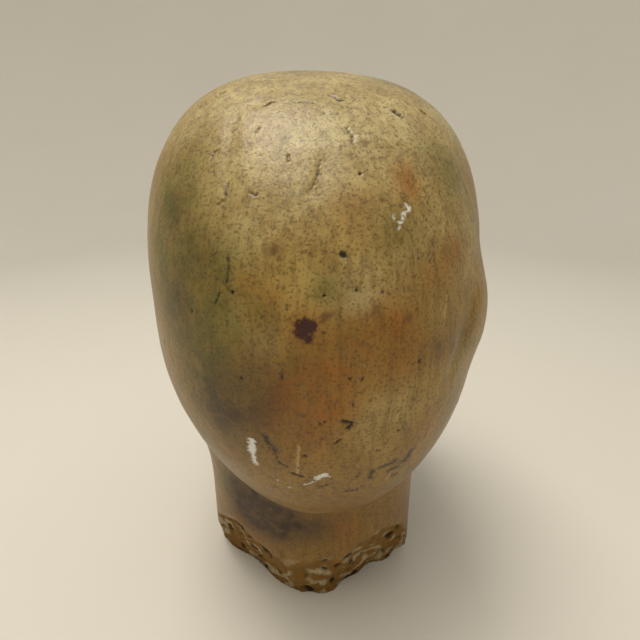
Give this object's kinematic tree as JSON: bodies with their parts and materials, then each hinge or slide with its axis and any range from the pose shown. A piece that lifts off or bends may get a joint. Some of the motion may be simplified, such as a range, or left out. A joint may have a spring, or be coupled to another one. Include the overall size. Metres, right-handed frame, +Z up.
{
  "type": "plaster bust",
  "caption": "Life-size bald head on a short neck, cast in plaster and varnished, with a broken edge under the nape and a flat underside.",
  "frame": {"origin": "middle of the flat underside of the neck", "axes": "+Z up through the crown, -Y the way the face looks, +X across the head"},
  "size_m": [0.1519, 0.223, 0.2599],
  "materials": {
    "varnished_plaster": "satin"
  },
  "bodies": {
    "root": {"plaster_head": "varnished_plaster"}
  },
  "joints": []
}
